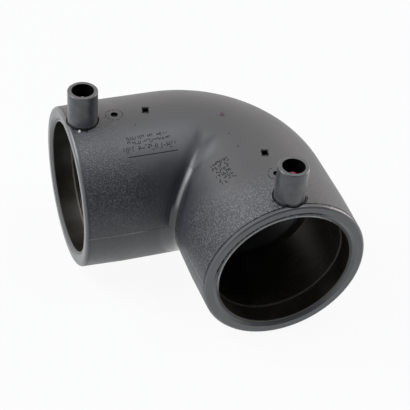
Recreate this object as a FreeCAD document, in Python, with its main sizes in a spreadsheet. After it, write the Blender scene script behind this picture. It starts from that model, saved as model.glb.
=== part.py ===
"""Ninety degree electrofusion elbow for polyethylene pipe, built on its side with the terminal towers up.

The left leg runs towards -X and the right leg towards -Y. Every sketch is drawn about the centre of the
bend, on the plane of the two socket axes. Each body is then moved so that the origin lies under the
middle of the fitting, on the surface that it rests on. Lengths are in millimetres.
"""
import FreeCAD, Part
import math
import os
import re
import Sketcher

SIZES = {
    # Moulded shell
    "socket_length": 48.7,
    "wall_thickness": 7.9,
    "throat_gap": 1.1,
    "leg_draft": 0.7,
    "root_length": 28.0,
    "rim_round": 1.2,
    "crotch_radius": 3.3,
    "crotch_seat": 0.03,
    "crotch_root": 2.0,
    # Socket, from the mouth to the pipe stop
    "pipe_radius": 31.5,
    "pipe_play": 0.1,
    "stop_land": 1.5,
    "stop_height": 1.6,
    "mouth_flare": 1.8,
    "mouth_depth": 1.2,
    # Coil carrier, a tube with the heating wire wound into its wall, and the wire that joins the two
    "carrier_wall": 0.9,
    "seat_gap": 0.03,
    "link_radius": 0.35,
    "link_play": 0.1,
    "link_inset": 3.0,
    # Terminal towers
    "tower_inset": 8.0,
    "tower_height": 16.1,
    "tower_radius": 6.95,
    "tower_bevel": 0.3,
    "tower_root": 4.0,
    "shroud_radius": 5.0,
    "shroud_depth": 15.5,
    "moat_width": 0.6,
    "moat_depth": 0.8,
    # Terminal pins
    "pin_radius": 2.35,
    "pin_sink": 4.5,
    "pin_bevel": 0.7,
    "pin_foot_radius": 2.9,
    "plug_radius": 1.65,
    "plug_depth": 4.0,
    "plug_head": 0.9,
    # Marks on the crown
    "indicator_inset": 23.0,
    "indicator_hole_radius": 1.6,
    "indicator_depth": 4.2,
    "indicator_radius": 1.2,
    "indicator_sink": 1.0,
    "core_hole_inset": 38.0,
    "core_hole_side": 2.9,
    "core_hole_depth": 3.2,
}

SIDES = ("left", "right")
FULL_TURN = 360.0
QUARTER_TURN = 90.0
EIGHTH_TURN = 45.0
LONGER = "longer"

# Turns about the section of the bend, in degrees, at which its outer side is divided into bands
BAND_TURNS = range(-90, 91, 15)

# Turn about the section of the passage, in degrees, at which its inner band begins
PASSAGE_TURN = 150

# How far a cut is carried past the surface that it opens
OVERRUN = "1"

# Share of a quarter round at which the first of its two bevels meets the second
FIRST_BEVEL = "((sqrt(3) - 1) / 2)"

# Radius at which the axis of a socket turns through the bend, a formula in the sizes above
BEND_RADIUS = "(pipe_radius + throat_gap)"

# Radii about the axis of a socket
SKIN_RADIUS = "(pipe_radius + wall_thickness)"
RIM_RADIUS = "(pipe_radius + wall_thickness - leg_draft)"
FUSION_RADIUS = "(pipe_radius + pipe_play)"
CARRIER_RADIUS = "(pipe_radius + pipe_play + carrier_wall)"
SOCKET_RADIUS = "(pipe_radius + pipe_play + carrier_wall + seat_gap)"
PASSAGE_RADIUS = "(pipe_radius - stop_height)"

# Places along a leg, from the centre of the bend towards the mouth
FACE = "(-socket_length)"
STOP = "(-stop_land)"
TOWER_PLACE = "(tower_inset - socket_length)"
INDICATOR_PLACE = "(indicator_inset - socket_length)"

# Heights above the axis of a socket
TOWER_TOP = f"({SKIN_RADIUS} + tower_height)"
SHROUD_FLOOR = f"({SKIN_RADIUS} + tower_height - shroud_depth)"
PIN_TIP = f"({SKIN_RADIUS} + tower_height - pin_sink)"
PLUG_SEAT = f"({SKIN_RADIUS} + tower_height - pin_sink - plug_head)"
INDICATOR_FLOOR = f"({SKIN_RADIUS} - indicator_depth)"

# Floor of the moat around a tower, which still cuts the skin where the leg falls away beside the crown
MOAT_FLOOR = f"(sqrt({RIM_RADIUS} ^ 2 - (tower_radius + moat_width) ^ 2) - moat_depth)"

# Centre of the corner in the crotch, and how far the corner runs up and down
CORNER = f"({BEND_RADIUS} - crotch_radius + crotch_seat)"
CORNER_REACH = f"sqrt({SKIN_RADIUS} ^ 2 - ({BEND_RADIUS} - crotch_radius) ^ 2)"

# Where the end of the link between the two coils stands off the mitre, so that it stops at a carrier
LINK_END = f"({BEND_RADIUS} - {SOCKET_RADIUS} - link_radius / sqrt(2))"
LINK_LENGTH = f"(sqrt(2) * (link_inset + 2 * {LINK_END}))"

doc = FreeCAD.newDocument("ElectrofusionElbow")
sheet = doc.addObject("Spreadsheet::Sheet", "Sizes")
for row, (name, size) in enumerate(SIZES.items(), start=1):
    sheet.set(f"A{row}", name)
    sheet.set(f"B{row}", str(size))
    sheet.setAlias(f"B{row}", name)
doc.recompute()


def formula(text):
    """Point every size name in a formula at the sheet."""
    return re.sub(r"\b([a-z]+(?:_[a-z]+)+)\b", r"Sizes.\1", text)


def value(text):
    """Work a formula out from the sheet, as a plain number."""
    return float(sheet.evalExpression(formula(text)))


def add_body(label):
    """Start a sub-part whose sketches are drawn about the centre of the bend."""
    body = doc.addObject("PartDesign::Body", label)
    body.Label = label
    shift = formula(f"-({BEND_RADIUS} + {SKIN_RADIUS} - socket_length) / 2")
    body.setExpression("Placement.Base.x", shift)
    body.setExpression("Placement.Base.y", shift)
    body.setExpression("Placement.Base.z", formula(SKIN_RADIUS))
    return body


def add_sketch(body, name, role, shift=("0", "0", "0")):
    """Add a sketch on one of the body's own origin planes, shifted in the plane's own axes."""
    sketch = body.newObject("Sketcher::SketchObject", name)
    plane = next(item for item in body.Origin.OriginFeatures if item.Role == role)
    sketch.AttachmentSupport = [(plane, "")]
    sketch.MapMode = "FlatFace"
    for axis, text in zip("xyz", shift):
        if text != "0":
            sketch.setExpression(f"AttachmentOffset.Base.{axis}", formula(text))
    return sketch


def hold(sketch, kind, target, text):
    """Add a constraint whose value is a formula."""
    index = sketch.addConstraint(Sketcher.Constraint(kind, *target, value(text)))
    sketch.setExpression(f"Constraints[{index}]", formula(text))


def fix_point(sketch, edge, end, place):
    """Hold one end of an edge at a place given by two formulas."""
    for kind, text, axis in (("DistanceX", place[0], -2), ("DistanceY", place[1], -1)):
        if text == "0":
            sketch.addConstraint(Sketcher.Constraint("PointOnObject", edge, end, axis))
        else:
            hold(sketch, kind, (-1, 1, edge, end), text)


def arc_about(centre, start, finish, longer):
    """The shorter or longer arc between two points about a centre, and whether it runs anticlockwise."""
    anticlockwise = ((start - centre).cross(finish - centre).z > 0) != longer
    first, last = (start, finish) if anticlockwise else (finish, start)
    begin, end = (math.atan2(point.y - centre.y, point.x - centre.x) for point in (first, last))
    if end < begin:
        end += math.tau
    circle = Part.Circle(centre, FreeCAD.Vector(0, 0, 1), centre.distanceToPoint(start))
    return Part.ArcOfCircle(circle, begin, end), anticlockwise


def draw_outline(sketch, corners):
    """Draw a closed outline of straight and round edges.

    A corner is (x, y), or (x, y, centre x, centre y) where an arc arrives, with LONGER after them if
    the arc is more than half a circle.
    """
    points = [FreeCAD.Vector(value(corner[0]), value(corner[1]), 0) for corner in corners]
    edges = []
    for index, start in enumerate(points):
        target = (index + 1) % len(points)
        if len(corners[target]) == 2:
            edges.append((sketch.addGeometry(Part.LineSegment(start, points[target])), 1, 2))
            continue
        across, up = corners[target][2:4]
        centre = FreeCAD.Vector(value(across), value(up), 0)
        arc, anticlockwise = arc_about(centre, start, points[target], LONGER in corners[target])
        edge = sketch.addGeometry(arc)
        edges.append((edge, 1, 2) if anticlockwise else (edge, 2, 1))
        hold(sketch, "DistanceX", (-1, 1, edge, 3), across)
    for index, (edge, start, end) in enumerate(edges):
        following, first, _ = edges[(index + 1) % len(edges)]
        sketch.addConstraint(Sketcher.Constraint("Coincident", edge, end, following, first))
        fix_point(sketch, edge, start, corners[index])


def turn(body, kind, name, sketch, axis, angle=FULL_TURN):
    """Revolve a sketch into the body, or out of it when kind is Groove."""
    feature = body.newObject(f"PartDesign::{kind}", name)
    feature.Profile = sketch
    feature.ReferenceAxis = (sketch, [axis])
    feature.Angle = angle
    feature.Refine = False
    doc.recompute()


def extrude(body, kind, name, sketch, length, both_ways):
    """Pad a sketch onto the body, or pocket it out."""
    feature = body.newObject(f"PartDesign::{kind}", name)
    feature.Profile = sketch
    feature.Midplane = both_ways
    feature.setExpression("Length", formula(length))
    feature.Refine = False
    doc.recompute()


def turn_about_socket(body, kind, name, side, corners):
    """Revolve an outline of (place along the leg, radius) about the axis of one socket."""
    if side == "left":
        sketch = add_sketch(body, f"{name}_profile", "XY_Plane", ("0", BEND_RADIUS, "0"))
        draw_outline(sketch, corners)
        turn(body, kind, name, sketch, "H_Axis")
    else:
        sketch = add_sketch(body, f"{name}_profile", "XY_Plane", (BEND_RADIUS, "0", "0"))
        draw_outline(sketch, [(radius, along) for along, radius in corners])
        turn(body, kind, name, sketch, "V_Axis")


def crown_sketch(body, name, side, along, height="0"):
    """An upright sketch through the crown of one leg, from a place along the leg and a height."""
    if side == "left":
        return add_sketch(body, name, "XZ_Plane", (along, height, f"-{BEND_RADIUS}"))
    return add_sketch(body, name, "YZ_Plane", (along, height, BEND_RADIUS))


def turn_upright(body, kind, name, side, along, corners):
    """Revolve an outline of (radius, height) about an upright line through the crown of one leg."""
    sketch = crown_sketch(body, f"{name}_profile", side, along)
    draw_outline(sketch, corners)
    turn(body, kind, name, sketch, "V_Axis")


def attach_to_mitre(sketch, body):
    """Stand a sketch on the plane between the two legs, its first axis away from the crotch."""
    upright = next(item for item in body.Origin.OriginFeatures if item.Role == "YZ_Plane")
    sketch.AttachmentSupport = [(upright, "")]
    sketch.MapMode = "FlatFace"
    eighth = FreeCAD.Rotation(FreeCAD.Vector(0, 1, 0), -EIGHTH_TURN)
    sketch.AttachmentOffset = FreeCAD.Placement(FreeCAD.Vector(0, 0, 0), eighth)


def run_across_crotch(body, kind, name, radius, length):
    """A round bar, or a channel for one, that crosses the mitre from one leg to the other."""
    sketch = body.newObject("Sketcher::SketchObject", f"{name}_circle")
    attach_to_mitre(sketch, body)
    edge = sketch.addGeometry(Part.Circle(FreeCAD.Vector(), FreeCAD.Vector(0, 0, 1), value(radius)))
    hold(sketch, "Radius", (edge,), radius)
    fix_point(sketch, edge, 3, ("-link_inset / sqrt(2)", "0"))
    extrude(body, kind, name, sketch, length, True)


def add_leg(body, side):
    """A drafted leg. Its outer rim is eased by two bevels that share the quarter turn evenly."""
    turn_about_socket(body, "Revolution", f"{side}_leg", side, [
        ("0", "0"),
        ("0", SKIN_RADIUS),
        ("-root_length", SKIN_RADIUS),
        (f"{FACE} + rim_round", RIM_RADIUS),
        (f"{FACE} + rim_round * {FIRST_BEVEL}", f"{RIM_RADIUS} - rim_round * {FIRST_BEVEL}"),
        (FACE, f"{RIM_RADIUS} - rim_round"),
        (FACE, "0"),
    ])


def add_bend(body):
    """The bend is tighter than its own radius, so its section stops at the axis that it turns about."""
    sketch = add_sketch(body, "bend_section", "XZ_Plane")
    pinch = f"sqrt({SKIN_RADIUS} ^ 2 - {BEND_RADIUS} ^ 2)"
    centre = (BEND_RADIUS, "0")
    bands = [
        (f"{BEND_RADIUS} + {SKIN_RADIUS} * cos({turn})", f"{SKIN_RADIUS} * sin({turn})", *centre)
        for turn in BAND_TURNS
    ]
    draw_outline(sketch, [("0", f"-{pinch}"), *bands, ("0", pinch, *centre)])
    turn(body, "Revolution", "bend", sketch, "V_Axis", QUARTER_TURN)


def add_crotch(body):
    """A corner of constant radius, carried along the mitre of the two legs, rounds the crotch.

    Its path is a stretch of the ellipse in which the legs meet, moved to the centre of the corner. It
    ends at the heights where the bend leaves room for no more than that radius.
    """
    path = body.newObject("Sketcher::SketchObject", "crotch_path")
    attach_to_mitre(path, body)
    middle = value(f"sqrt(2) * {CORNER}")
    far = FreeCAD.Vector(middle + value(f"sqrt(2) * {SKIN_RADIUS}"), 0, 0)
    top = FreeCAD.Vector(middle, value(SKIN_RADIUS), 0)
    ellipse = Part.Ellipse(far, top, FreeCAD.Vector(middle, 0, 0))
    reach = math.asin(value(CORNER_REACH) / value(SKIN_RADIUS))
    arc = path.addGeometry(Part.ArcOfEllipse(ellipse, math.pi - reach, math.pi + reach))
    path.exposeInternalGeometry(arc)
    major, minor = arc + 1, arc + 2
    path.addConstraint(Sketcher.Constraint("Horizontal", major))
    path.addConstraint(Sketcher.Constraint("PointOnObject", arc, 3, -1))
    hold(path, "DistanceX", (-1, 1, arc, 3), f"sqrt(2) * {CORNER}")
    hold(path, "Distance", (major,), f"2 * sqrt(2) * {SKIN_RADIUS}")
    hold(path, "Distance", (minor,), f"2 * {SKIN_RADIUS}")
    hold(path, "DistanceY", (-1, 1, arc, 1), CORNER_REACH)
    hold(path, "DistanceY", (arc, 2, -1, 1), CORNER_REACH)
    corner = add_sketch(body, "crotch_corner", "XY_Plane", ("0", "0", f"-{CORNER_REACH}"))
    tangent = "(crotch_seat + crotch_radius)"
    root = "(crotch_seat + crotch_radius + crotch_root)"
    draw_outline(corner, [
        (tangent, "crotch_seat", "crotch_seat", "crotch_seat"),
        (root, "crotch_seat"),
        (root, root),
        ("crotch_seat", root),
        ("crotch_seat", tangent),
    ])
    crotch = body.newObject("PartDesign::AdditivePipe", "crotch")
    crotch.Profile = corner
    crotch.Spine = (path, [])
    crotch.Mode = "Fixed"
    crotch.Refine = False
    doc.recompute()


def add_tower(body, side):
    """The tower that shrouds one terminal."""
    turn_upright(body, "Revolution", f"{side}_tower", side, TOWER_PLACE, [
        ("0", f"{SKIN_RADIUS} - tower_root"),
        ("tower_radius", f"{SKIN_RADIUS} - tower_root"),
        ("tower_radius", f"{TOWER_TOP} - tower_bevel"),
        ("tower_radius - tower_bevel", TOWER_TOP),
        ("0", TOWER_TOP),
    ])


def cut_socket(body, side):
    """A socket with a flared mouth, a seat for its carrier and a pipe stop."""
    turn_about_socket(body, "Groove", f"{side}_socket", side, [
        (f"{FACE} - {OVERRUN}", "0"),
        (f"{FACE} - {OVERRUN}", f"{SOCKET_RADIUS} + mouth_flare"),
        (FACE, f"{SOCKET_RADIUS} + mouth_flare"),
        (f"{FACE} + mouth_depth", SOCKET_RADIUS),
        (STOP, SOCKET_RADIUS),
        (STOP, PASSAGE_RADIUS),
        ("0", PASSAGE_RADIUS),
        ("0", "0"),
    ])


def cut_terminal(body, side):
    """The shroud around one terminal, the hole for its pin and the moat at the foot of the tower."""
    turn_upright(body, "Groove", f"{side}_shroud", side, TOWER_PLACE, [
        ("0", FUSION_RADIUS),
        ("pin_foot_radius + seat_gap", FUSION_RADIUS),
        ("pin_foot_radius + seat_gap", SHROUD_FLOOR),
        ("shroud_radius", SHROUD_FLOOR),
        ("shroud_radius", f"{TOWER_TOP} + {OVERRUN}"),
        ("0", f"{TOWER_TOP} + {OVERRUN}"),
    ])
    turn_upright(body, "Groove", f"{side}_moat", side, TOWER_PLACE, [
        ("tower_radius", MOAT_FLOOR),
        ("tower_radius + moat_width", MOAT_FLOOR),
        ("tower_radius + moat_width", f"{SKIN_RADIUS} + {OVERRUN}"),
        ("tower_radius", f"{SKIN_RADIUS} + {OVERRUN}"),
    ])


def cut_crown_marks(body, side):
    """The hole that the fusion indicator stands in, and the square hole that a core pin leaves."""
    turn_upright(body, "Groove", f"{side}_indicator_hole", side, INDICATOR_PLACE, [
        ("0", INDICATOR_FLOOR),
        ("indicator_hole_radius", INDICATOR_FLOOR),
        ("indicator_hole_radius", f"{SKIN_RADIUS} + {OVERRUN}"),
        ("0", f"{SKIN_RADIUS} + {OVERRUN}"),
    ])
    square = crown_sketch(body, f"{side}_core_hole_side", side, "core_hole_inset - socket_length")
    draw_outline(square, [
        ("-core_hole_side / 2", f"{SKIN_RADIUS} - core_hole_depth"),
        ("core_hole_side / 2", f"{SKIN_RADIUS} - core_hole_depth"),
        ("core_hole_side / 2", f"{SKIN_RADIUS} + {OVERRUN}"),
        ("-core_hole_side / 2", f"{SKIN_RADIUS} + {OVERRUN}"),
    ])
    extrude(body, "Pocket", f"{side}_core_hole", square, "core_hole_side", True)


def cut_passage(body):
    """The bent passage between the two pipe stops."""
    section = add_sketch(body, "passage_section", "XZ_Plane")
    inside = f"{BEND_RADIUS} + {PASSAGE_RADIUS} * cos({PASSAGE_TURN})"
    half = f"{PASSAGE_RADIUS} * sin({PASSAGE_TURN})"
    centre = (BEND_RADIUS, "0")
    draw_outline(section, [(inside, f"-{half}", *centre), (inside, half, *centre, LONGER)])
    turn(body, "Groove", "passage", section, "V_Axis", QUARTER_TURN)


def make_elbow():
    """The moulded fitting itself, with its two towers."""
    body = add_body("elbow_body")
    for side in SIDES:
        add_leg(body, side)
    add_bend(body)
    add_crotch(body)
    for side in SIDES:
        add_tower(body, side)
    for side in SIDES:
        cut_socket(body, side)
    cut_passage(body)
    for side in SIDES:
        cut_terminal(body, side)
        cut_crown_marks(body, side)
    run_across_crotch(body, "Pocket", "link_channel", "link_radius + link_play",
                      f"{LINK_LENGTH} + 2 * {OVERRUN}")


def make_carrier(side):
    """A tube that carries the winding. It starts flush with the mouth and stands against the stop."""
    turn_about_socket(add_body(f"coil_carrier_{side}"), "Revolution", f"{side}_carrier", side, [
        (FACE, FUSION_RADIUS),
        (FACE, CARRIER_RADIUS),
        (STOP, CARRIER_RADIUS),
        (STOP, FUSION_RADIUS),
    ])


def make_link():
    """The wire that carries the current from the end of one coil to the end of the other."""
    run_across_crotch(add_body("link_wire"), "Pad", "link", "link_radius", LINK_LENGTH)


def make_terminals():
    """A solid pin on the left, and on the right a bored pin with a coloured coding plug in its end.

    The foot of each pin is held in the wall and stands on the carrier.
    """
    foot = [
        ("0", SOCKET_RADIUS),
        ("pin_foot_radius", SOCKET_RADIUS),
        ("pin_foot_radius", SHROUD_FLOOR),
        ("pin_radius", SHROUD_FLOOR),
    ]
    left = add_body("terminal_pin_left")
    turn_upright(left, "Revolution", "left_pin", "left", TOWER_PLACE, [
        *foot,
        ("pin_radius", f"{PIN_TIP} - pin_bevel"),
        ("pin_radius - pin_bevel", PIN_TIP),
        ("0", PIN_TIP),
    ])
    right = add_body("terminal_pin_right")
    turn_upright(right, "Revolution", "right_pin", "right", TOWER_PLACE, [
        *foot,
        ("pin_radius", PLUG_SEAT),
        ("plug_radius + seat_gap", PLUG_SEAT),
        ("plug_radius + seat_gap", f"{PLUG_SEAT} - plug_depth"),
        ("0", f"{PLUG_SEAT} - plug_depth"),
    ])
    plug = add_body("coding_plug")
    turn_upright(plug, "Revolution", "plug", "right", TOWER_PLACE, [
        ("0", f"{PLUG_SEAT} - plug_depth"),
        ("plug_radius", f"{PLUG_SEAT} - plug_depth"),
        ("plug_radius", PIN_TIP),
        ("0", PIN_TIP),
    ])


def make_indicator(side):
    """A plain peg on the floor of its hole, which melt pushes up when the joint is made."""
    top = f"({SKIN_RADIUS} - indicator_sink)"
    peg = add_body(f"fusion_indicator_{side}")
    turn_upright(peg, "Revolution", f"{side}_indicator", side, INDICATOR_PLACE, [
        ("0", INDICATOR_FLOOR),
        ("indicator_radius", INDICATOR_FLOOR),
        ("indicator_radius", top),
        ("0", top),
    ])


def check_document():
    """Stop if any feature failed or any sub-part isn't one valid solid."""
    doc.recompute()
    for item in doc.Objects:
        if {"Invalid", "Error"} & set(item.State):
            raise RuntimeError(f"{item.Name} failed: {item.State}")
    for body in BODIES:
        if body.Shape.isNull() or not body.Shape.isValid() or len(body.Shape.Solids) != 1:
            raise RuntimeError(f"{body.Label} isn't one valid solid")


def write_parts():
    """Write each sub-part to its own file, in its place in the fitting."""
    os.makedirs("parts", exist_ok=True)
    for body in BODIES:
        body.Shape.exportStep(f"parts/{body.Label}.step")
        print(body.Label, round(body.Shape.Volume, 1))


make_elbow()
for side in SIDES:
    make_carrier(side)
make_link()
make_terminals()
for side in SIDES:
    make_indicator(side)
BODIES = [item for item in doc.Objects if item.isDerivedFrom("PartDesign::Body")]
check_document()
write_parts()
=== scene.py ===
"""Looks for the ninety degree electrofusion elbow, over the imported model."""
import itertools
import math
import random
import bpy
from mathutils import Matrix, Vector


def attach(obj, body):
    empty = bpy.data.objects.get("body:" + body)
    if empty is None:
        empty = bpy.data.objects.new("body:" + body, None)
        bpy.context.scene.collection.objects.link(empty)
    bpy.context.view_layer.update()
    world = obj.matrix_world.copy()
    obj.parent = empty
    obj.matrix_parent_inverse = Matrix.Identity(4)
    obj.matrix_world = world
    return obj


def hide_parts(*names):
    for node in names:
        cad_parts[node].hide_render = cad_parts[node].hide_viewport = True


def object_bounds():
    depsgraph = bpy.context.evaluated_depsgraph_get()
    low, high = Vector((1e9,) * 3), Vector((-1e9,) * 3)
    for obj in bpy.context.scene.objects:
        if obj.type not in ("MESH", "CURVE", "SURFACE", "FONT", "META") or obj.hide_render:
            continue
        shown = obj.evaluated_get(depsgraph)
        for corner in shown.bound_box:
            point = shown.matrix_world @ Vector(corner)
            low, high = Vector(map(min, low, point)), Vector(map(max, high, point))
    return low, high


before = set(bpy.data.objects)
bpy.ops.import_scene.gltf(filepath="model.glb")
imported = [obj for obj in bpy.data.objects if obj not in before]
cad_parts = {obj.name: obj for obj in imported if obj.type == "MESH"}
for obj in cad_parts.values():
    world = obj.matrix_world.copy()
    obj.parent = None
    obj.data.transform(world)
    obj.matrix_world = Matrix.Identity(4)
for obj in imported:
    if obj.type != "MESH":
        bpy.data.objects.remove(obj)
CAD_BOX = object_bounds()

from types import SimpleNamespace

import bmesh
import bpy
from mathutils import Matrix, Vector

MM = 0.001

# The fitting, in millimetres about the centre of its bend, which is where both legs begin. The left leg
# runs towards -X and the right leg towards -Y, so places along them are below zero
BEND_RADIUS = 32.6
SOCKET_LENGTH = 48.7
SKIN_RADIUS = 39.4
LEG_DRAFT = 0.7
ROOT_LENGTH = 28.0
RIM_ROUND = 1.2
BORE_RADIUS = 31.6
CARRIER_RADIUS = 32.5
MOUTH_DEPTH = 1.1
LIP_BEVEL = 0.2
STOP_LAND = 1.5
TOWER_PLACE = -40.7
TOWER_RADIUS = 6.95
SHROUD_RADIUS = 5.05
MOAT_WIDTH = 0.6
INDICATOR_PLACE = -25.7
INDICATOR_HOLE_RADIUS = 1.6
CORE_HOLE_PLACE = -10.7
CORE_HOLE_SIDE = 2.9

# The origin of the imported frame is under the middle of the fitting's square outline
MIDDLE_OFFSET = (BEND_RADIUS + SKIN_RADIUS - SOCKET_LENGTH) / 2
FRAME_SHIFT = Vector((-MIDDLE_OFFSET, -MIDDLE_OFFSET, SKIN_RADIUS))

# The winding in each carrier: where it begins and ends behind the mouth, its pitch and its turns. A section
# holds pairs: a share of the pitch, and a share of the height. The first turn is wider and prouder
WINDING_START = 10.2
WINDING_END = 44.0
WINDING_PITCH = 1.3
TURN_HEIGHT = 0.14
TURN_CREST = 0.3
TURN_SECTION = ((0.0, 0.0), (0.15, 0.8), (TURN_CREST, 1.0), (0.45, 0.8), (0.6, 0.0))
FIRST_TURN_SECTION = ((-0.2, 0.0), (0.3, 1.9), (0.45, 2.0), (0.6, 1.6), (0.75, 0.0))
CARRIER_SEGMENTS = 160

SIDES = ("left", "right")
chance = random.Random(7)


def to_row(point):
    """A point about the centre of the bend, in millimetres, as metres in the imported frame."""
    return (Vector(point) + FRAME_SHIFT) * MM


def skin_radius_at(along):
    """Radius of a leg at a place along it, which the draft takes down towards the mouth."""
    if along > -ROOT_LENGTH:
        return SKIN_RADIUS
    run = SOCKET_LENGTH - RIM_ROUND - ROOT_LENGTH
    return SKIN_RADIUS - LEG_DRAFT * (-along - ROOT_LENGTH) / run


def about_leg(side, along, turn, radius):
    """A point about the axis of one leg. The turn is in radians from the crown towards the outer side."""
    across = BEND_RADIUS + radius * math.sin(turn)
    height = radius * math.cos(turn)
    if side == "left":
        return Vector((along, across, height))
    return Vector((across, along, height))


def on_skin(side, along, arc, lift=0.0):
    """A point on the skin of one leg, by its arc from the crown, lifted off it by some millimetres."""
    radius = skin_radius_at(along)
    return about_leg(side, along, arc / radius, radius + lift)


def add_mesh(name, verts, faces, material, smooth=True):
    """A piece from points about the centre of the bend."""
    mesh = bpy.data.meshes.new(name)
    mesh.from_pydata([to_row(vert) for vert in verts], [], faces)
    mesh.validate()
    mesh.polygons.foreach_set("use_smooth", [smooth] * len(mesh.polygons))
    piece = bpy.data.objects.new(name, mesh)
    bpy.context.scene.collection.objects.link(piece)
    build = bmesh.new()
    build.from_mesh(mesh)
    bmesh.ops.recalc_face_normals(build, faces=build.faces)
    build.to_mesh(mesh)
    build.free()
    if smooth:
        mesh.set_sharp_from_angle(angle=math.radians(35.0))
    piece.data.materials.append(material)
    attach(piece, "root")
    return piece


# Material nodes

def new_material(name):
    """A material, its node tree and its shader."""
    material = bpy.data.materials.new(name)
    material.use_nodes = True
    tree = material.node_tree
    return material, tree, tree.nodes["Principled BSDF"]


def add_node(tree, kind, inputs=None, **settings):
    """A node with some of its settings and sockets filled in. A socket takes a value or another socket."""
    node = tree.nodes.new(kind)
    for key, setting in settings.items():
        setattr(node, key, setting)
    for key, setting in (inputs or {}).items():
        if isinstance(setting, bpy.types.NodeSocket):
            tree.links.new(setting, node.inputs[key])
        else:
            node.inputs[key].default_value = setting
    return node


def combine(tree, operation, first, second=0.0):
    """The result of one sum on two terms."""
    node = add_node(tree, "ShaderNodeMath", {0: first, 1: second}, operation=operation)
    return node.outputs["Value"]


def product(tree, first, *others):
    """All terms multiplied together."""
    for term in others:
        first = combine(tree, "MULTIPLY", first, term)
    return first


def largest(tree, first, *others):
    """The largest of the terms."""
    for term in others:
        first = combine(tree, "MAXIMUM", first, term)
    return first


def rest_of(tree, share):
    """What a share leaves of 1."""
    return combine(tree, "SUBTRACT", 1.0, share)


def distance(tree, first, second):
    """Distance between two points."""
    node = add_node(tree, "ShaderNodeVectorMath", {0: first, 1: second}, operation="DISTANCE")
    return node.outputs["Value"]


def ease(tree, source, start, end):
    """0 before start and 1 past end, with a smooth change between them."""
    node = add_node(tree, "ShaderNodeMapRange", {"Value": source, "From Min": start, "From Max": end},
                    interpolation_type="SMOOTHSTEP")
    return node.outputs["Result"]


def near(tree, source, middle, half, soft):
    """1 within half of the middle, which falls to 0 over a soft edge."""
    away = combine(tree, "ABSOLUTE", combine(tree, "SUBTRACT", source, middle))
    return ease(tree, away, half + soft, half)


def noise(tree, place, scale, detail=4.0, roughness=0.5):
    """Noise at a scale given in features a metre."""
    node = add_node(tree, "ShaderNodeTexNoise", {"Vector": place, "Scale": scale, "Detail": detail,
                                                 "Roughness": roughness})
    return node.outputs["Fac"]


def ramp(tree, source, stops):
    """A colour ramp over a socket, from (position, colour) pairs."""
    node = add_node(tree, "ShaderNodeValToRGB", {"Fac": source})
    elements = node.color_ramp.elements
    while len(elements) < len(stops):
        elements.new(0.5)
    for element, (position, colour) in zip(elements, stops):
        element.position = position
        element.color = (*colour, 1.0)
    return node.outputs["Color"]


def mottle(tree, source, dark, light, reach=0.2):
    """Dark to light over the middle of a noise, which is that reach to each side of a half."""
    return ramp(tree, source, [(0.5 - reach, dark), (0.5 + reach, light)])


def map_range(tree, source, start, end, low, high):
    """A socket mapped from one range to another in a straight line."""
    node = add_node(tree, "ShaderNodeMapRange", {"Value": source, "From Min": start, "From Max": end,
                                                 "To Min": low, "To Max": high})
    return node.outputs["Result"]


def spread(tree, source, low, high):
    """The middle of a noise mapped to low and high."""
    return map_range(tree, source, 0.3, 0.7, low, high)


def blend(tree, share, first, second):
    """A mix of two colours or numbers by a share."""
    is_number = isinstance(second, float) or not isinstance(second, tuple) and second.type == "VALUE"
    node = add_node(tree, "ShaderNodeMix", data_type="FLOAT" if is_number else "RGBA")
    sockets = [item for item in node.inputs if item.enabled]
    for socket, term in zip(sockets, (share, first, second)):
        if isinstance(term, bpy.types.NodeSocket):
            tree.links.new(term, socket)
        else:
            socket.default_value = (*term, 1.0) if isinstance(term, tuple) else term
    return next(item for item in node.outputs if item.enabled)


def bump(tree, height, strength, depth, after=None):
    """A bent normal from a height, over any bump that comes before it. The depth is in millimetres."""
    inputs = {"Height": height, "Strength": strength, "Distance": depth * MM}
    if after is not None:
        inputs["Normal"] = after
    return add_node(tree, "ShaderNodeBump", inputs).outputs["Normal"]


def shaded_point(tree):
    """Where a shaded point is: in metres for noise, and in millimetres about the centre of the bend.

    The smaller of x and y is the place along the leg that the point is on, and the larger one is its place
    across that leg. On the plane midway between the legs, x and y are nothing apart.
    """
    metres = tree.nodes.new("ShaderNodeTexCoord").outputs["Object"]
    scaled = add_node(tree, "ShaderNodeVectorMath", {0: metres, 1: (1 / MM, 1 / MM, 1 / MM),
                                                     2: tuple(-FRAME_SHIFT)}, operation="MULTIPLY_ADD")
    x, y, z = add_node(tree, "ShaderNodeSeparateXYZ", {0: scaled.outputs["Vector"]}).outputs
    return SimpleNamespace(metres=metres, x=x, y=y, z=z,
                           along=combine(tree, "MINIMUM", x, y),
                           across=combine(tree, "MAXIMUM", x, y),
                           apart=combine(tree, "ABSOLUTE", combine(tree, "SUBTRACT", x, y)))


def distance_from_upright(tree, point, side, along):
    """Distance in millimetres from the upright line through the crown of one leg at a place along it."""
    level = add_node(tree, "ShaderNodeCombineXYZ", {"X": point.x, "Y": point.y}).outputs["Vector"]
    return distance(tree, level, tuple(about_leg(side, along, 0.0, 0.0)))


# Plain materials

def plastic(name, dark, light, roughness, grain, specular=0.5):
    """Moulded plastic: mottled colour, fine grain in bump, gloss that varies over it."""
    material, tree, shader = new_material(name)
    place = tree.nodes.new("ShaderNodeTexCoord").outputs["Object"]
    cloud = noise(tree, place, 90.0, detail=5.0)
    speck = noise(tree, place, 1500.0, detail=3.0, roughness=0.7)
    tint = mottle(tree, blend(tree, 0.45, cloud, speck), dark, light, reach=0.18)
    tree.links.new(tint, shader.inputs["Base Color"])
    tree.links.new(spread(tree, cloud, roughness - 0.06, roughness + 0.06), shader.inputs["Roughness"])
    shader.inputs["Specular IOR Level"].default_value = specular
    tree.links.new(bump(tree, speck, grain, depth=0.12), shader.inputs["Normal"])
    return material


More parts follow.
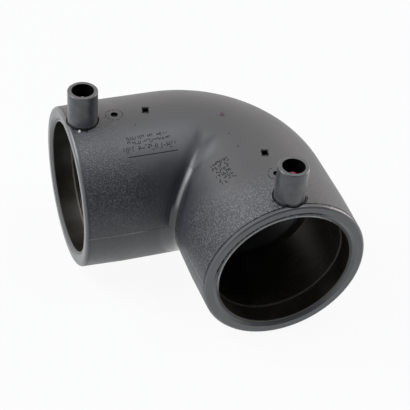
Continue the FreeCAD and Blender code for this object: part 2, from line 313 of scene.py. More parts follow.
def turned_metal(name, dark, light, roughness):
    """Turned metal with fine rings and small scuffs."""
    material, tree, shader = new_material(name)
    place = tree.nodes.new("ShaderNodeTexCoord").outputs["Object"]
    scuff = noise(tree, place, 900.0, detail=6.0, roughness=0.7)
    tree.links.new(mottle(tree, scuff, dark, light, reach=0.15), shader.inputs["Base Color"])
    shader.inputs["Metallic"].default_value = 1.0
    tree.links.new(spread(tree, scuff, roughness - 0.1, roughness + 0.12), shader.inputs["Roughness"])
    rings = add_node(tree, "ShaderNodeTexWave", {"Vector": place, "Scale": 900.0, "Distortion": 0.4},
                     bands_direction="Z").outputs["Fac"]
    turned = bump(tree, rings, 0.12, depth=0.05)
    tree.links.new(bump(tree, scuff, 0.2, depth=0.05, after=turned), shader.inputs["Normal"])
    return material


# The body. An edge is the place where an area begins and the place where it is full, in millimetres.
# Heights are above the axes of the legs

FACE_PLACE = RIM_ROUND - SOCKET_LENGTH
GRAIN_END = 1.9
GRAIN_PLACE = GRAIN_END - SOCKET_LENGTH

TOWER_EDGE = (SKIN_RADIUS + 0.2, SKIN_RADIUS + 0.8)
MOUTH_EDGE = (GRAIN_PLACE + 0.1, GRAIN_PLACE - 0.1)
FACE_EDGE = (FACE_PLACE, FACE_PLACE - 0.5)
CREASE_SIDE_EDGE = (9.0, 4.0)
CREASE_END_EDGE = (12.0, 8.0)
CREST_EDGE = (SKIN_RADIUS - 18.0, SKIN_RADIUS - 9.0)
RIGHT_EDGE = (-1.0, 1.0)

# The grain grows along a leg from the bend. Near the crown it does so further out
LEG_EDGE = (-4.0, -29.0)
CROWN_EDGE = (SKIN_RADIUS - 22.0, SKIN_RADIUS)
CROWN_DELAY = 13.0

# It is weaker under the axis, on the outer side and on the left leg, and the towers have a trace of it
LOW_GRAIN_RANGE = (-6.0, 16.0)
LOW_GRAIN = 0.3
OUTER_EDGE = (BEND_RADIUS - 9.0, BEND_RADIUS + 4.0)
OUTER_LOSS = 0.7
LEFT_GRAIN = 0.55
TOWER_GRAIN = 0.1

# The dark line where the grain stops shows above the axis of the right leg, and is faint elsewhere. The
# breaks of a line are its share at the low and the high end of a noise
EDGE_LINE_HALF = 0.24
EDGE_LINE_SOFT = 0.16
EDGE_LINE_RISE = (-4.0, 10.0)
EDGE_LINE_BREAKS = (0.1, 1.4)
FAINT_EDGE_LINE = 0.2

# Painted shade: a dark broken ring in the face of the right leg, over the upper part of its mouth and
# fading to its right
FACE_SHADE_RADIUS = 34.5
FACE_SHADE_HALF = 0.35
FACE_SHADE_SOFT = 0.2
FACE_SHADE_DEPTH_EDGE = (FACE_PLACE, FACE_PLACE - 0.2)
FACE_SHADE_RISE = (2.0, 10.0)
FACE_SHADE_SIDE = (BEND_RADIUS + 20.0, BEND_RADIUS + 8.0)
FACE_SHADE_BREAKS = (0.3, 1.6)

# Painted shade in the holes and moats on the crowns
CROWN_ONLY_EDGE = (SKIN_RADIUS - 6.0, SKIN_RADIUS - 5.5)
MOAT_LINE_HALF = 0.25
MOAT_LINE_SOFT = 0.15
MOAT_EDGE = (SKIN_RADIUS + 0.1, SKIN_RADIUS - 0.1)
MOAT_BREAKS = (0.1, 1.0)
SHROUD_EDGE = (SHROUD_RADIUS + 0.2, SHROUD_RADIUS)
INDICATOR_EDGE = (INDICATOR_HOLE_RADIUS + 0.2, INDICATOR_HOLE_RADIUS)
CORE_EDGE = (0.75 * CORE_HOLE_SIDE, 0.70 * CORE_HOLE_SIDE)
CORE_DEPTH_EDGE = (SKIN_RADIUS - 0.25, SKIN_RADIUS - 0.35)

# The seam wanders a little about the height of the axes. Near the mouths it is pale
SEAM_HALF = 0.14
SEAM_SOFT = 0.16
SEAM_WANDER = 0.8
PALE_SEAM_EDGE = (-18.0, -24.0)
PALE_SEAM_BREAKS = (0.5, 1.3)

# Painted highlight: a pale strip along the upper part of the crease
CREASE_HIGHLIGHT_SIDE_EDGE = (1.9, 0.3)
CREASE_HIGHLIGHT_HEIGHT = 21.0
CREASE_HIGHLIGHT_HALF = 7.0
CREASE_HIGHLIGHT_SOFT = 5.5
CREASE_HIGHLIGHT_END_EDGE = (26.0, 20.0)

# Dark and light tints of each area. Smooth plastic under the axes has lighter tints, painted light bounced
# up from the floor
BOUNCE_LIGHT_EDGE = (8.0, -12.0)
BEND_TINTS = ((0.027, 0.031, 0.037), (0.036, 0.040, 0.046))
BOUNCE_LIGHT_TINTS = ((0.040, 0.044, 0.050), (0.055, 0.060, 0.066))
BARE_TINTS = ((0.102, 0.108, 0.116), (0.122, 0.128, 0.137))
TOWER_TINTS = ((0.045, 0.050, 0.056), (0.082, 0.090, 0.101))
GRAIN_STOPS = ((0.37, (0.004, 0.006, 0.008)), (0.5, (0.025, 0.031, 0.040)), (0.62, (0.146, 0.158, 0.180)))
SEAM_TINTS = ((0.008, 0.008, 0.009), (0.23, 0.27, 0.26))
CREASE_HIGHLIGHT_TINT = (0.22, 0.23, 0.24)
SHADE_TINT = (0.004, 0.004, 0.005)

# Roughness and specular level. What is in shade gets some roughness on top
BODY_ROUGHNESS = (0.40, 0.50)
CREASE_ROUGHNESS = 0.22
BARE_ROUGHNESS = 0.30
SHADE_ROUGHNESS = 0.4
BODY_SPECULAR = 0.7
CREST_SPECULAR = 0.38
SHADE_SPECULAR = 0.05


def shell_areas(tree, point):
    """Shares from 0 to 1 for the areas of the body that more than one of its looks depends on."""
    tower = ease(tree, point.z, *TOWER_EDGE)
    crease = product(tree, ease(tree, point.apart, *CREASE_SIDE_EDGE),
                     ease(tree, point.along, *CREASE_END_EDGE))
    return SimpleNamespace(
        tower=tower,
        pale=largest(tree, tower, ease(tree, point.along, *FACE_EDGE)),
        crease=crease,
        crest=product(tree, crease, ease(tree, point.z, *CREST_EDGE)),
        on_right=ease(tree, combine(tree, "SUBTRACT", point.x, point.y), *RIGHT_EDGE))


def grain_share(tree, point, areas):
    """How much of the grain shows. There is none on the bend, the crease, the towers and the mouths."""
    delay = product(tree, ease(tree, point.z, *CROWN_EDGE), CROWN_DELAY)
    leg = ease(tree, combine(tree, "ADD", point.along, delay), *LEG_EDGE)
    bare = largest(tree, ease(tree, point.along, *MOUTH_EDGE), areas.tower)
    height = map_range(tree, point.z, *LOW_GRAIN_RANGE, LOW_GRAIN, 1.0)
    outer = product(tree, ease(tree, point.across, *OUTER_EDGE), OUTER_LOSS)
    return product(tree, rest_of(tree, bare), leg, rest_of(tree, areas.crease), height,
                   rest_of(tree, outer), blend(tree, areas.on_right, LEFT_GRAIN, 1.0))


def rim_lines_and_shade(tree, point, areas, fleck):
    """The dark broken lines at the mouths: where the grain stops, and painted shade in the face of the
    right mouth.
    """
    line = product(tree, near(tree, point.along, GRAIN_PLACE, EDGE_LINE_HALF, EDGE_LINE_SOFT),
                   rest_of(tree, areas.tower))
    marked = product(tree, ease(tree, point.z, *EDGE_LINE_RISE), areas.on_right)
    line = product(tree, line, blend(tree, marked, FAINT_EDGE_LINE, 1.0),
                   spread(tree, fleck, *EDGE_LINE_BREAKS))

    level = add_node(tree, "ShaderNodeCombineXYZ", {"X": point.x, "Z": point.z}).outputs["Vector"]
    radius = distance(tree, level, (BEND_RADIUS, 0.0, 0.0))
    # Painted shade over the upper part of the right mouth's face
    ring = product(tree, near(tree, radius, FACE_SHADE_RADIUS, FACE_SHADE_HALF, FACE_SHADE_SOFT),
                   ease(tree, point.y, *FACE_SHADE_DEPTH_EDGE), ease(tree, point.z, *FACE_SHADE_RISE),
                   ease(tree, point.x, *FACE_SHADE_SIDE), spread(tree, fleck, *FACE_SHADE_BREAKS))
    return largest(tree, line, ring)


def crown_painted_shade(tree, point, areas, fleck, side):
    """Painted shade on the crown of one leg: round and in the tower, in the hole and the core hole."""
    tower_distance = distance_from_upright(tree, point, side, TOWER_PLACE)
    moat = product(tree, near(tree, tower_distance, TOWER_RADIUS + MOAT_WIDTH / 2, MOAT_LINE_HALF,
                              MOAT_LINE_SOFT),
                   ease(tree, point.z, *MOAT_EDGE), spread(tree, fleck, *MOAT_BREAKS))
    shroud = product(tree, areas.tower, ease(tree, tower_distance, *SHROUD_EDGE))
    hole = ease(tree, distance_from_upright(tree, point, side, INDICATOR_PLACE), *INDICATOR_EDGE)
    core = product(tree, ease(tree, distance_from_upright(tree, point, side, CORE_HOLE_PLACE), *CORE_EDGE),
                   ease(tree, point.z, *CORE_DEPTH_EDGE))
    return product(tree, largest(tree, moat, shroud, hole, core), ease(tree, point.z, *CROWN_ONLY_EDGE))


def seam_line(tree, point, areas):
    """The thin line half way up where the mould parted, which the faces don't have."""
    wander = product(tree, noise(tree, point.metres, 35.0, detail=1.0), SEAM_WANDER)
    line = near(tree, combine(tree, "ADD", point.z, wander), SEAM_WANDER / 2, SEAM_HALF, SEAM_SOFT)
    return product(tree, line, rest_of(tree, areas.pale))


def shell_tint(tree, point, areas, grained, speck, cloud):
    """Colour of the body before its marks, with painted floor bounce light under the axes."""
    smear = noise(tree, point.metres, 260.0, roughness=0.6)
    # Lighter under the axes: painted light bounced up from the floor
    bend_and_bounce_tint = blend(tree, ease(tree, point.z, *BOUNCE_LIGHT_EDGE), mottle(tree, cloud, *BEND_TINTS),
                      mottle(tree, cloud, *BOUNCE_LIGHT_TINTS))
    tint = blend(tree, grained, bend_and_bounce_tint, ramp(tree, speck, GRAIN_STOPS))
    tint = blend(tree, areas.pale, tint, mottle(tree, cloud, *BARE_TINTS))
    return blend(tree, areas.tower, tint, mottle(tree, smear, *TOWER_TINTS, reach=0.18))


def marked_tint(tree, point, tint, seam, shade):
    """The colour with the painted highlight on the crease, the seam, and the dark lines and painted shade
    over it.
    """
    crease_highlight = product(tree, ease(tree, point.apart, *CREASE_HIGHLIGHT_SIDE_EDGE),
                   near(tree, point.z, CREASE_HIGHLIGHT_HEIGHT, CREASE_HIGHLIGHT_HALF, CREASE_HIGHLIGHT_SOFT),
                   ease(tree, point.along, *CREASE_HIGHLIGHT_END_EDGE))
    paler = product(tree, ease(tree, point.along, *PALE_SEAM_EDGE),
                    spread(tree, noise(tree, point.metres, 50.0, detail=2.0), *PALE_SEAM_BREAKS))
    # Painted highlight along the upper crease
    tint = blend(tree, crease_highlight, tint, CREASE_HIGHLIGHT_TINT)
    tint = blend(tree, seam, tint, blend(tree, paler, *SEAM_TINTS))
    return blend(tree, shade, tint, SHADE_TINT)


def shell_gloss(tree, areas, cloud, shade):
    """Roughness and specular level of the body. The crease and the faces shine more, the marks less."""
    side = combine(tree, "SUBTRACT", areas.crease, areas.crest)
    roughness = blend(tree, side, spread(tree, cloud, *BODY_ROUGHNESS), CREASE_ROUGHNESS)
    roughness = blend(tree, areas.pale, roughness, BARE_ROUGHNESS)
    roughness = combine(tree, "ADD", roughness, product(tree, shade, SHADE_ROUGHNESS))
    specular = blend(tree, areas.tower, blend(tree, areas.crest, BODY_SPECULAR, CREST_SPECULAR),
                     BODY_SPECULAR)
    return roughness, blend(tree, shade, specular, SHADE_SPECULAR)


def moulded_shell():
    """The body: grained on the legs, smooth on towers, mouths and bend, with painted shade in its holes and
    moats.
    """
    material, tree, shader = new_material("shell")
    point = shaded_point(tree)
    areas = shell_areas(tree, point)
    cloud = noise(tree, point.metres, 70.0, detail=5.0)
    speck = noise(tree, point.metres, 1400.0, detail=2.0, roughness=0.6)
    fleck = noise(tree, point.metres, 900.0, detail=3.0, roughness=0.7)
    grained = grain_share(tree, point, areas)
    seam = seam_line(tree, point, areas)
    # The painted shade in holes, moats and the right mouth, with the dark lines where the grain stops
    shade = largest(tree, rim_lines_and_shade(tree, point, areas, fleck),
                    *(crown_painted_shade(tree, point, areas, fleck, side) for side in SIDES))

    tint = shell_tint(tree, point, areas, grained, speck, cloud)
    tree.links.new(marked_tint(tree, point, tint, seam, shade), shader.inputs["Base Color"])

    roughness, specular = shell_gloss(tree, areas, cloud, shade)
    tree.links.new(roughness, shader.inputs["Roughness"])
    tree.links.new(specular, shader.inputs["Specular IOR Level"])

    parted = bump(tree, seam, 0.8, depth=0.15)
    waved = bump(tree, noise(tree, point.metres, 60.0, detail=2.0), 0.2, depth=1.0, after=parted)
    heights = product(tree, speck, largest(tree, grained, product(tree, areas.tower, TOWER_GRAIN)))
    tree.links.new(bump(tree, heights, 1.0, depth=0.5, after=waved), shader.inputs["Normal"])
    return material


# The carriers

# A painted highlight on the end of a carrier in the mouth, above the axis, apart from the outer side
LIP_HIGHLIGHT_EDGE = (MOUTH_DEPTH - SOCKET_LENGTH + 0.35, MOUTH_DEPTH - SOCKET_LENGTH + 0.2)
LIP_HIGHLIGHT_RISE = (-8.0, 4.0)
LIP_HIGHLIGHT_SIDE = (BEND_RADIUS + 24.0, BEND_RADIUS + 10.0)

# The first turn catches the light on its crest, which is painted as a highlight
FIRST_TURN_PLACE = WINDING_START - SOCKET_LENGTH
LEDGE_PLACE = FIRST_TURN_PLACE + 0.3
LEDGE_HALF = 0.3
LEDGE_SOFT = 0.4
LEDGE_BREAKS = (0.2, 1.0)

CARRIER_TINTS = ((0.010, 0.009, 0.006), (0.020, 0.019, 0.013))
LIP_HIGHLIGHT_TINTS = ((0.30, 0.305, 0.31), (0.60, 0.61, 0.62))
TURN_TINT = (0.040, 0.037, 0.034)
LEDGE_HIGHLIGHT_TINT = (0.26, 0.25, 0.21)


def wound_wall():
    """The carriers: dark brown, a little paler on each turn, with painted highlights on their ends in the
    mouths and on the first turn.
    """
    material, tree, shader = new_material("carrier")
    point = shaded_point(tree)
    cloud = noise(tree, point.metres, 120.0)
    speck = noise(tree, point.metres, 1500.0, detail=3.0, roughness=0.7)

    phase = combine(tree, "SUBTRACT", point.along, FIRST_TURN_PLACE + TURN_CREST * WINDING_PITCH)
    wave = combine(tree, "COSINE", product(tree, phase, math.tau / WINDING_PITCH))
    turns = product(tree, ease(tree, wave, 0.2, 1.0),
                    ease(tree, point.along, FIRST_TURN_PLACE, FIRST_TURN_PLACE + 0.5))
    # Painted highlight on the first turn's crest
    ledge = product(tree, near(tree, point.along, LEDGE_PLACE, LEDGE_HALF, LEDGE_SOFT),
                    spread(tree, speck, *LEDGE_BREAKS))
    # Painted highlight on the carrier's end, over the upper part of the mouth
    end = product(tree, ease(tree, point.along, *LIP_HIGHLIGHT_EDGE), ease(tree, point.z, *LIP_HIGHLIGHT_RISE),
                  ease(tree, point.across, *LIP_HIGHLIGHT_SIDE))

    tint = blend(tree, turns, mottle(tree, cloud, *CARRIER_TINTS), TURN_TINT)
    tint = blend(tree, ledge, tint, LEDGE_HIGHLIGHT_TINT)
    tint = blend(tree, end, tint, mottle(tree, speck, *LIP_HIGHLIGHT_TINTS))
    tree.links.new(tint, shader.inputs["Base Color"])
    tree.links.new(spread(tree, cloud, 0.28, 0.38), shader.inputs["Roughness"])
    tree.links.new(bump(tree, speck, 0.3, depth=0.12), shader.inputs["Normal"])
    return material


shell = moulded_shell()
carrier = wound_wall()
# Near-black plastic for pits, print and dark rings, and as painted shade at the core holes and the towers'
# feet
pit = plastic("pit", (0.005, 0.004, 0.006), (0.014, 0.011, 0.015), roughness=0.6, grain=0.3, specular=0.2)
indicator = plastic("indicator", (0.004, 0.004, 0.004), (0.010, 0.010, 0.010), roughness=0.7, grain=0.3,
                    specular=0.1)
coding = plastic("coding", (0.46, 0.07, 0.11), (0.64, 0.15, 0.19), roughness=0.3, grain=0.25)
faint_ink = plastic("faint_ink", (0.006, 0.006, 0.008), (0.024, 0.025, 0.030), roughness=0.5, grain=0.4,
                    specular=0.3)
ink = plastic("ink", (0.002, 0.002, 0.003), (0.009, 0.009, 0.011), roughness=0.6, grain=0.4, specular=0.06)
gate = plastic("gate", (0.030, 0.022, 0.034), (0.060, 0.045, 0.066), roughness=0.5, grain=0.3, specular=0.4)
scar = plastic("scar", (0.10, 0.105, 0.11), (0.22, 0.225, 0.23), roughness=0.4, grain=0.4)
# Near-white plastic: a painted glint on the raised burr in front of the left tower's foot
flash = plastic("flash", (0.60, 0.60, 0.60), (0.85, 0.85, 0.85), roughness=0.4, grain=0.3)
tinned = turned_metal("tinned", (0.62, 0.60, 0.55), (0.84, 0.82, 0.77), roughness=0.28)
drawn = turned_metal("drawn", (0.55, 0.33, 0.22), (0.74, 0.48, 0.32), roughness=0.35)

NODE_MATERIALS = {
    "elbow_body": shell,
    "coil_carrier_left": carrier,
    "coil_carrier_right": carrier,
    "terminal_pin_left": tinned,
    "terminal_pin_right": tinned,
    "link_wire": drawn,
    "coding_plug": coding,
    "fusion_indicator_left": indicator,
    "fusion_indicator_right": indicator,
}
for node, material in NODE_MATERIALS.items():
    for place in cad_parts[node].material_slots:
        place.material = material


# Pieces on the fitting

# How far the foot of a raised mark is sunk in the skin, and the height of marks that are hardly raised
SUNK = -0.05
THIN = 0.05

# The bars in place of the print. A bevel starts at a share of the height and goes in by a share of the
# smaller half size
PRINT_HEIGHT = 0.12
BEVEL_START = 0.6
BEVEL_SHARE = 0.3
BAR_STEPS = (0.6, 1.3)
UPRIGHT_SHARES = (0.5, 1.0)
UPRIGHT_CHANCE = 0.7
UPRIGHT_HALF = 0.17
LEVEL_CHANCE = 0.45
LEVEL_HALF = 0.15

# Dashes of a broken ring: their length and the gaps between them in radians, and how far they stray
DASH_LENGTHS = (0.10, 0.30)
DASH_GAPS = (0.03, 0.12)
DASH_STRAY = 0.2

# How far the outline of a spot goes in and out, as shares of its radius
SPOT_RADII = (0.8, 1.15)


def winding_profile():
    """Places and radii round the section of a carrier, from its end in the mouth to the pipe stop."""
    mouth = MOUTH_DEPTH - SOCKET_LENGTH
    profile = [(mouth, CARRIER_RADIUS), (mouth, BORE_RADIUS + LIP_BEVEL),
               (mouth + LIP_BEVEL, BORE_RADIUS)]
    for number in range(round((WINDING_END - WINDING_START) / WINDING_PITCH)):
        along = WINDING_START - SOCKET_LENGTH + number * WINDING_PITCH
        for share, rise in TURN_SECTION if number else FIRST_TURN_SECTION:
            profile.append((along + share * WINDING_PITCH, BORE_RADIUS - rise * TURN_HEIGHT))
    profile += [(-STOP_LAND, BORE_RADIUS), (-STOP_LAND, CARRIER_RADIUS)]
    return profile


def add_wound_carrier(side):
    """The carrier with the turns of its winding, in place of the plain tube."""
    profile = winding_profile()
    verts = [about_leg(side, along, math.tau * turn / CARRIER_SEGMENTS, radius)
             for turn in range(CARRIER_SEGMENTS) for along, radius in profile]
    count = len(profile)
    faces = []
    for turn, point in itertools.product(range(CARRIER_SEGMENTS), range(count)):
        following = (turn + 1) % CARRIER_SEGMENTS
        after = (point + 1) % count
        faces.append((turn * count + point, turn * count + after,
                      following * count + after, following * count + point))
    piece = add_mesh(f"wound_carrier_{side}", verts, faces, carrier)
    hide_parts(f"coil_carrier_{side}")


def add_bars(name, side, bars, lift, material):
    """Flat raised bars on the skin. Each is (along, arc, half its length along, half its length across)."""
    verts = []
    faces = []
    for along, arc, reach, breadth in bars:
        base = len(verts)
        bevel = BEVEL_SHARE * min(reach, breadth)
        for inset, height in ((0.0, SUNK), (0.0, BEVEL_START * lift), (bevel, lift)):
            for right, up in ((-1, -1), (1, -1), (1, 1), (-1, 1)):
                verts.append(on_skin(side, along + right * (reach - inset), arc + up * (breadth - inset),
                                     height))
        for level, corner in itertools.product(range(2), range(4)):
            first = base + 4 * level
            beside = (corner + 1) % 4
            faces.append((first + corner, first + beside, first + 4 + beside, first + 4 + corner))
        faces.append(tuple(base + 8 + corner for corner in range(4)))
        faces.append(tuple(base + 3 - corner for corner in range(4)))
    add_mesh(name, verts, faces, material, smooth=False)


def on_crown(x, y, lift=0.0):
    """The point of the skin over a place in the plane of the bend, lifted off it by some millimetres."""
    if x > 0 and y > 0:
        reach = math.hypot(x, y)
        radius = SKIN_RADIUS
        side = Vector((x / reach, y / reach, 0.0))
    else:
        reach = y if x <= 0 else x
        radius = skin_radius_at(x if x <= 0 else y)
        side = Vector((0.0, 1.0, 0.0)) if x <= 0 else Vector((1.0, 0.0, 0.0))
    offset = reach - BEND_RADIUS
    rise = math.sqrt(radius ** 2 - offset ** 2)
    normal = (side * offset + Vector((0.0, 0.0, rise))) / radius
    return Vector((x, y, rise)) + normal * lift


def add_patches(name, outlines, lift, material):
    """Thin raised patches on the crown, each from the corners of its outline."""
    verts = []
    faces = []
    for outline in outlines:
        base, count = len(verts), len(outline)
        for height in (SUNK, lift):
            verts += [on_crown(x, y, height) for x, y in outline]
        for corner in range(count):
            beside = (corner + 1) % count
            faces.append((base + corner, base + beside, base + count + beside, base + count + corner))
        faces.append(tuple(base + count + corner for corner in range(count)))
        faces.append(tuple(base + count - 1 - corner for corner in range(count)))
    add_mesh(name, verts, faces, material, smooth=False)


def spot(x, y, radius, stretch=1.0, corners=14):
    """An uneven round outline, stretched about in the direction that the photograph was taken in."""
    away, aside = 0.95, 0.32
    points = []
    for corner in range(corners):
        angle = math.tau * corner / corners
        reach = radius * chance.uniform(*SPOT_RADII)
        first, second = reach * math.cos(angle), reach * stretch * math.sin(angle)
        points.append((x + away * first + aside * second, y - aside * first + away * second))
    return points


def crown_place(side, along):
    """The place on the crown of one leg, in the plane of the bend."""
    return (along, BEND_RADIUS) if side == "left" else (BEND_RADIUS, along)


def dashes(x, y, radius, width, share, start, end):
    """Short outlines in a broken ring about a place on the crown, without those that pass the rim."""
    angle = start
    while angle < end:
        length = chance.uniform(*DASH_LENGTHS)
        if chance.random() < share:
            middle = radius + chance.uniform(-DASH_STRAY, DASH_STRAY)
            inner, outer = middle - width / 2, middle + width / 2
            turns = [angle, angle + length / 2, angle + length]
            corners = [(turn, inner) for turn in turns] + [(turn, outer) for turn in reversed(turns)]
            outline = [(x + reach * math.cos(turn), y + reach * math.sin(turn)) for turn, reach in corners]
            if min(min(corner) for corner in outline) > FACE_PLACE:
                yield outline
        angle += length + chance.uniform(*DASH_GAPS)


def add_ring(name, side, along, material, radius, width, share, lift, start=0.0, end=math.tau):
    """A broken ring of marks on the crown of one leg. The share is how much of the ring is there."""
    x, y = crown_place(side, along)
    outlines = list(dashes(x, y, radius, width, share, start, end))
    add_patches(f"{name}_{side}", outlines, lift, material)


def add_core_hole_shade(side):
    """Painted shade: two dark patches at opposite corners of a core hole, each the other one turned half
    round.
    """
    x, y = crown_place(side, CORE_HOLE_PLACE)
    half = CORE_HOLE_SIDE / 2
    corners = [(-half, half), (half, half), (half, -0.4), (2.4, 1.8), (-0.8, 2.9)]
    shade_patches = [[(x + sign * first, y + sign * second) for first, second in corners] for sign in (1, -1)]
    add_patches(f"core_hole_shade_{side}", shade_patches, 0.03, pit)


def print_field(start, end, lines, breadth):
    """Plain upright and level bars in lines, which fill a field where the real fitting has its print.

    Each is (place along its line, height, half its length, half its height).
    """
    for line in lines:
        place = start
        while place < end:
            step = chance.uniform(*BAR_STEPS)
            tall = chance.uniform(*UPRIGHT_SHARES) * breadth / 2
            if chance.random() < UPRIGHT_CHANCE:
                yield place, line + breadth / 2 - tall, UPRIGHT_HALF, tall
            if chance.random() < LEVEL_CHANCE:
                height = line + chance.choice((-0.5, 0.0, 0.5)) * breadth
                yield place + step / 2, height, step / 2, LEVEL_HALF
            place += step


def degrees_to_arc(degrees):
    """Length of arc on the skin for an angle about the axis of a leg."""
    return math.radians(degrees) * SKIN_RADIUS


def add_print_left():
    """Three lines of bars along the left leg, the lowest one larger, and a plain line under them."""
    bars = list(print_field(-26.5, -2.0, [degrees_to_arc(-31.0)], breadth=2.6))
    bars += list(print_field(-24.0, -4.0, [degrees_to_arc(-26.3), degrees_to_arc(-22.8)], breadth=1.5))
    add_bars("print_field_left", "left", bars, PRINT_HEIGHT, faint_ink)
    add_bars("print_line_left", "left", [(-13.5, degrees_to_arc(-36.0), 11.9, 0.22)], THIN, pit)


def add_print_right():
    """Six lines of bars across the right leg."""
    lines = [-18.8, -16.2, -13.6, -11.0, -8.4, -5.8]
    field = print_field(degrees_to_arc(-36.5), degrees_to_arc(-24.5), lines, breadth=1.6)
    bars = [(along, arc, reach, breadth) for arc, along, breadth, reach in field]
    add_bars("print_field_right", "right", bars, PRINT_HEIGHT, ink)


for side in SIDES:
    add_wound_carrier(side)
    add_ring("indicator_ring", side, INDICATOR_PLACE, pit, radius=3.95, width=0.36, share=0.7, lift=THIN)
    add_ring("indicator_flash", side, INDICATOR_PLACE, scar, radius=3.45, width=0.30, share=0.35, lift=THIN)
    add_core_hole_shade(side)
    add_ring("core_flash", side, CORE_HOLE_PLACE, scar, radius=3.2, width=0.35, share=0.4, lift=0.06,
             start=-1.2, end=2.2)
    # Raised burr dashes round the front of each tower's foot, coloured near-black as painted shade
    add_ring("tower_burr_shade", side, TOWER_PLACE, pit, radius=TOWER_RADIUS + MOAT_WIDTH + 0.35, width=0.3,
             share=0.3, lift=0.15, start=math.pi, end=1.9 * math.pi)
    add_ring("tower_flash", side, TOWER_PLACE, scar, radius=TOWER_RADIUS + MOAT_WIDTH + 0.7, width=0.35,
             share=0.3, lift=0.2, start=math.pi, end=1.9 * math.pi)

add_patches("gate_mark", [spot(23.3, 21.2, 1.15, stretch=1.1)], 0.10, gate)
add_patches("gate_edge", [spot(21.9, 21.8, 0.5, stretch=1.6)], 0.12, scar)
add_patches("moulding_pits", [spot(22.1, 8.0, 0.35), spot(23.0, -1.9, 0.4), spot(-18.0, 24.0, 0.3)],
            THIN, pit)
# A raised burr in front of the left tower's foot, painted white as a glint
add_patches("moulding_burr_glint", [spot(-44.1, 25.2, 0.5, stretch=1.3)], 0.6, flash)
add_patches("moulding_scuffs", [spot(-40.9, 16.6, 0.35), spot(-34.6, 19.7, 0.2), spot(-30.2, 8.5, 0.25)],
            THIN, scar)
add_print_left()
add_print_right()


# Camera, solved from the photograph

AZIMUTH = math.radians(22.31)
ELEVATION = math.radians(41.0)
ROLL = math.radians(5.34)
CAMERA_PLACE = (-149.9, -390.5, 370.6)
FOCAL_PIXELS = 1185.56
PHOTO_PIXELS = 410
SENSOR_WIDTH = 36.0


def add_camera():
    """The camera where the photograph was taken from, with its roll and its focal length."""
    forward = Vector((math.sin(AZIMUTH) * math.cos(ELEVATION), math.cos(AZIMUTH) * math.cos(ELEVATION),
                      -math.sin(ELEVATION)))
    level = Vector((math.cos(AZIMUTH), -math.sin(AZIMUTH), 0.0))
    upright = level.cross(forward)
    right = level * math.cos(ROLL) + upright * math.sin(ROLL)
    up = upright * math.cos(ROLL) - level * math.sin(ROLL)

    data = bpy.data.cameras.new("camera")
    data.sensor_width = SENSOR_WIDTH
    data.lens = FOCAL_PIXELS / PHOTO_PIXELS * SENSOR_WIDTH
    data.clip_start = 0.01
    data.clip_end = 20.0
    camera = bpy.data.objects.new("camera", data)
    bpy.context.scene.collection.objects.link(camera)
    turn = Matrix((right, up, -forward)).transposed().to_4x4()
    camera.matrix_world = Matrix.Translation(to_row(CAMERA_PLACE)) @ turn
    bpy.context.scene.camera = camera


add_camera()


# Light, in metres

LAMP_DISTANCE = 1.1
LAMP_SIZE = 0.6
LAMP_AIM = Vector((0.0, 0.0, 0.04))


def add_lamp(name, azimuth, elevation, power, colour=(1.0, 1.0, 1.0)):
    """A square soft box that looks at the fitting from an azimuth and an elevation in degrees."""
    data = bpy.data.lights.new(name, "AREA")
    data.shape = "SQUARE"
    data.size = LAMP_SIZE
    data.energy = power
    data.color = colour
    lamp = bpy.data.objects.new(name, data)
    bpy.context.scene.collection.objects.link(lamp)
    across, rise = math.radians(azimuth), math.radians(elevation)
    lamp.location = LAMP_DISTANCE * Vector((math.cos(rise) * math.sin(across),
                                            math.cos(rise) * math.cos(across), math.sin(rise)))
    lamp.rotation_mode = "QUATERNION"
    lamp.rotation_quaternion = (LAMP_AIM - lamp.location).to_track_quat("-Z", "Y")


add_lamp("left", azimuth=288, elevation=50, power=7.2, colour=(0.97, 1.0, 1.04))
add_lamp("right", azimuth=90, elevation=15, power=5.2, colour=(1.08, 0.97, 0.95))
add_lamp("over", azimuth=90, elevation=70, power=3.0, colour=(0.90, 1.0, 1.10))
add_lamp("front", azimuth=225, elevation=15, power=0.8)


# Surroundings. In gloss they are dark in front, past an edge in the Y of the direction, and white elsewhere

FRONT_EDGE = (-0.25, -0.6)
GLOSSY_FRONT = 0.0
GLOSSY_WORLD = 1.4
GLOSSY_FLOOR = 1.05
WORLD_LIGHT = 0.03
WHITE = (1.0, 1.0, 1.0)
WARM_WHITE = (1.08, 1.0, 0.94)

FLOOR_TINT = (0.86, 0.86, 0.86)
FLOOR_ROUGHNESS = 0.9
FLOOR_GLOW = 0.93
FLOOR_HALF = 2
FLOOR_GAP = 0.0002


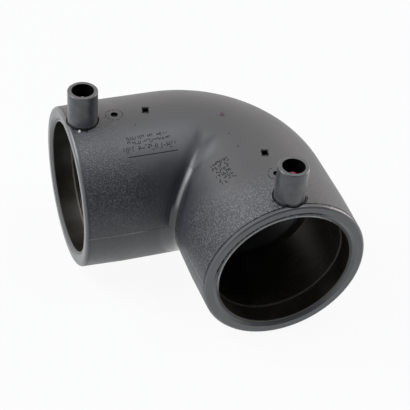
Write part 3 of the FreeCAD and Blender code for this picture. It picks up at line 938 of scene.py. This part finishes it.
def seen(tree, in_gloss):
    """1 for rays from the camera and through glass, and for glossy rays the share that they see."""
    rays = tree.nodes.new("ShaderNodeLightPath").outputs
    direct = largest(tree, rays["Is Camera Ray"], rays["Is Transmission Ray"])
    return largest(tree, direct, product(tree, rays["Is Glossy Ray"], in_gloss))


def light_world():
    """White to the camera, a little warm in gloss, and faint as light, which is left to the lamps."""
    world = bpy.data.worlds.new("studio")
    bpy.context.scene.world = world
    world.use_nodes = True
    tree = world.node_tree
    background = tree.nodes["Background"].inputs
    direction = tree.nodes.new("ShaderNodeTexCoord").outputs["Generated"]
    depth = add_node(tree, "ShaderNodeSeparateXYZ", {0: direction}).outputs["Y"]
    in_gloss = blend(tree, ease(tree, depth, *FRONT_EDGE), GLOSSY_WORLD, GLOSSY_FRONT)
    is_gloss = tree.nodes.new("ShaderNodeLightPath").outputs["Is Glossy Ray"]
    tree.links.new(blend(tree, is_gloss, WHITE, WARM_WHITE), background["Color"])
    tree.links.new(largest(tree, seen(tree, in_gloss), WORLD_LIGHT), background["Strength"])


def add_floor():
    """A pale floor just under the fitting. It glows, so that it shows white, and keeps a faint shadow."""
    material, tree, shader = new_material("floor")
    shader.inputs["Base Color"].default_value = (*FLOOR_TINT, 1.0)
    shader.inputs["Roughness"].default_value = FLOOR_ROUGHNESS
    glow = add_node(tree, "ShaderNodeEmission", {"Color": (*WHITE, 1.0)})
    share = product(tree, seen(tree, GLOSSY_FLOOR), FLOOR_GLOW)
    mixed = add_node(tree, "ShaderNodeMixShader", {0: share, 1: shader.outputs[0], 2: glow.outputs[0]})
    tree.links.new(mixed.outputs[0], tree.nodes["Material Output"].inputs["Surface"])

    mesh = bpy.data.meshes.new("floor")
    corners = [(-FLOOR_HALF, -FLOOR_HALF, 0), (FLOOR_HALF, -FLOOR_HALF, 0), (FLOOR_HALF, FLOOR_HALF, 0),
               (-FLOOR_HALF, FLOOR_HALF, 0)]
    mesh.from_pydata(corners, [], [(0, 1, 2, 3)])
    mesh.materials.append(material)
    floor = bpy.data.objects.new("floor", mesh)
    bpy.context.scene.collection.objects.link(floor)
    floor.location.z = CAD_BOX[0].z - FLOOR_GAP


light_world()
add_floor()
bpy.context.scene.view_settings.view_transform = "Standard"
